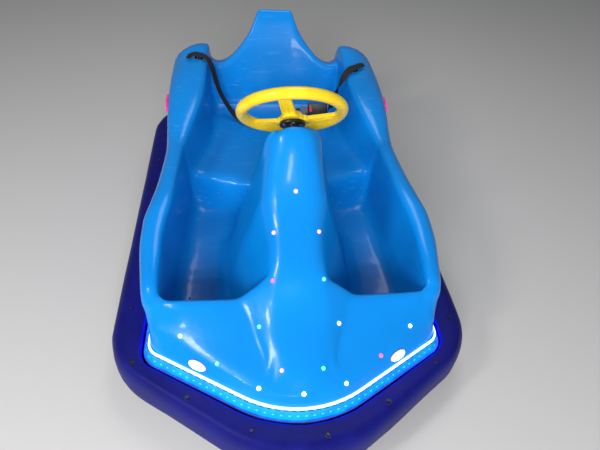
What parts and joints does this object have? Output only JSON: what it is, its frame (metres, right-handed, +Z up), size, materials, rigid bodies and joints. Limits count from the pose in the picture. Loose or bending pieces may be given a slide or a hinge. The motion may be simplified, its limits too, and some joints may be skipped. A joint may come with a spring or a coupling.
{
  "type": "bumper car",
  "caption": "Small electric bumper car: glossy moulded tub with a high backrest, lap belt and dished steering wheel, rubber ring all round, steered drive wheel under the hood.",
  "frame": {"origin": "on the floor under the middle of the rubber ring", "axes": "+Z up, the nose points to -Y, +X is the driver's left; the ring is symmetric about X = 0 and its length lies along Y"},
  "size_m": [0.91, 1.63, 0.6793],
  "materials": {
    "body_blue": "glossy moulded plastic",
    "ring_rubber": "smooth black rubber",
    "strip_glow": "milky light strip",
    "lamp_lens": "clear lamp lens",
    "pink_lens": "tinted lamp lens",
    "frame_steel": "black paint",
    "bright_steel": "zinc plated",
    "wheel_yellow": "moulded yellow plastic",
    "black_plastic": "black plastic",
    "boot_rubber": "black rubber",
    "tyre_rubber": "black tyre",
    "hub_grey": "cast hub",
    "belt_webbing": "black webbing"
  },
  "bodies": {
    "car": {"body_shell": "body_blue", "bumper_ring": "ring_rubber", "light_strip": "strip_glow", "headlamp_left": "lamp_lens", "headlamp_right": "lamp_lens", "hood_lights": "lamp_lens", "side_lamp_left": "pink_lens", "side_lamp_right": "pink_lens", "hoop": "frame_steel", "frame": "frame_steel", "front_bridge": "frame_steel", "column_flange": "black_plastic", "rear_brackets": "frame_steel", "rear_axle_left": "bright_steel", "rear_axle_right": "bright_steel", "battery_tray": "frame_steel", "battery_left": "black_plastic", "battery_right": "black_plastic", "control_box": "black_plastic", "pedal": "black_plastic", "belt_anchor_left": "bright_steel", "belt_anchor_right": "bright_steel", "belt_left": "belt_webbing", "belt_right": "belt_webbing", "belt_buckle": "black_plastic", "belt_tongue": "bright_steel"},
    "steering": {"steering_wheel": "wheel_yellow", "wheel_cap": "wheel_yellow", "steering_shaft": "bright_steel"},
    "middle": {"middle_shaft": "bright_steel", "upper_boot": "boot_rubber", "lower_boot": "boot_rubber"},
    "fork": {"front_fork": "bright_steel", "front_axle": "bright_steel"},
    "front_wheel": {"front_hub": "hub_grey", "front_tyre": "tyre_rubber"},
    "rear_wheel_left": {"rear_hub_left": "hub_grey", "rear_tyre_left": "tyre_rubber"},
    "rear_wheel_right": {"rear_hub_right": "hub_grey", "rear_tyre_right": "tyre_rubber"}
  },
  "joints": [
    {"name": "steering_turn", "type": "hinge", "parent": "car", "child": "steering", "pos_m": [0, -0.183, 0.574], "axis": [0, 0.7547, 0.6561], "range_deg": [-180, 180]},
    {"name": "middle_turn", "type": "hinge", "parent": "car", "child": "middle", "pos_m": [0, -0.366, 0.304], "axis": [0, 0.3318, 0.9433], "range_deg": [-180, 180]},
    {"name": "fork_turn", "type": "hinge", "parent": "car", "child": "fork", "pos_m": [0, -0.366, 0.095], "axis": [0, 0, 1], "range_deg": [-180, 180]},
    {"name": "front_wheel_spin", "type": "hinge", "parent": "fork", "child": "front_wheel", "pos_m": [0, -0.366, 0.095], "axis": [1, 0, 0], "continuous": true},
    {"name": "rear_wheel_left_spin", "type": "hinge", "parent": "car", "child": "rear_wheel_left", "pos_m": [0.26, 0.484, 0.08], "axis": [1, 0, 0], "continuous": true},
    {"name": "rear_wheel_right_spin", "type": "hinge", "parent": "car", "child": "rear_wheel_right", "pos_m": [-0.26, 0.484, 0.08], "axis": [1, 0, 0], "continuous": true}
  ],
  "couplings": [
    {"joint": "middle_turn", "follows": "steering_turn", "ratio": 1},
    {"joint": "fork_turn", "follows": "steering_turn", "ratio": 1}
  ]
}
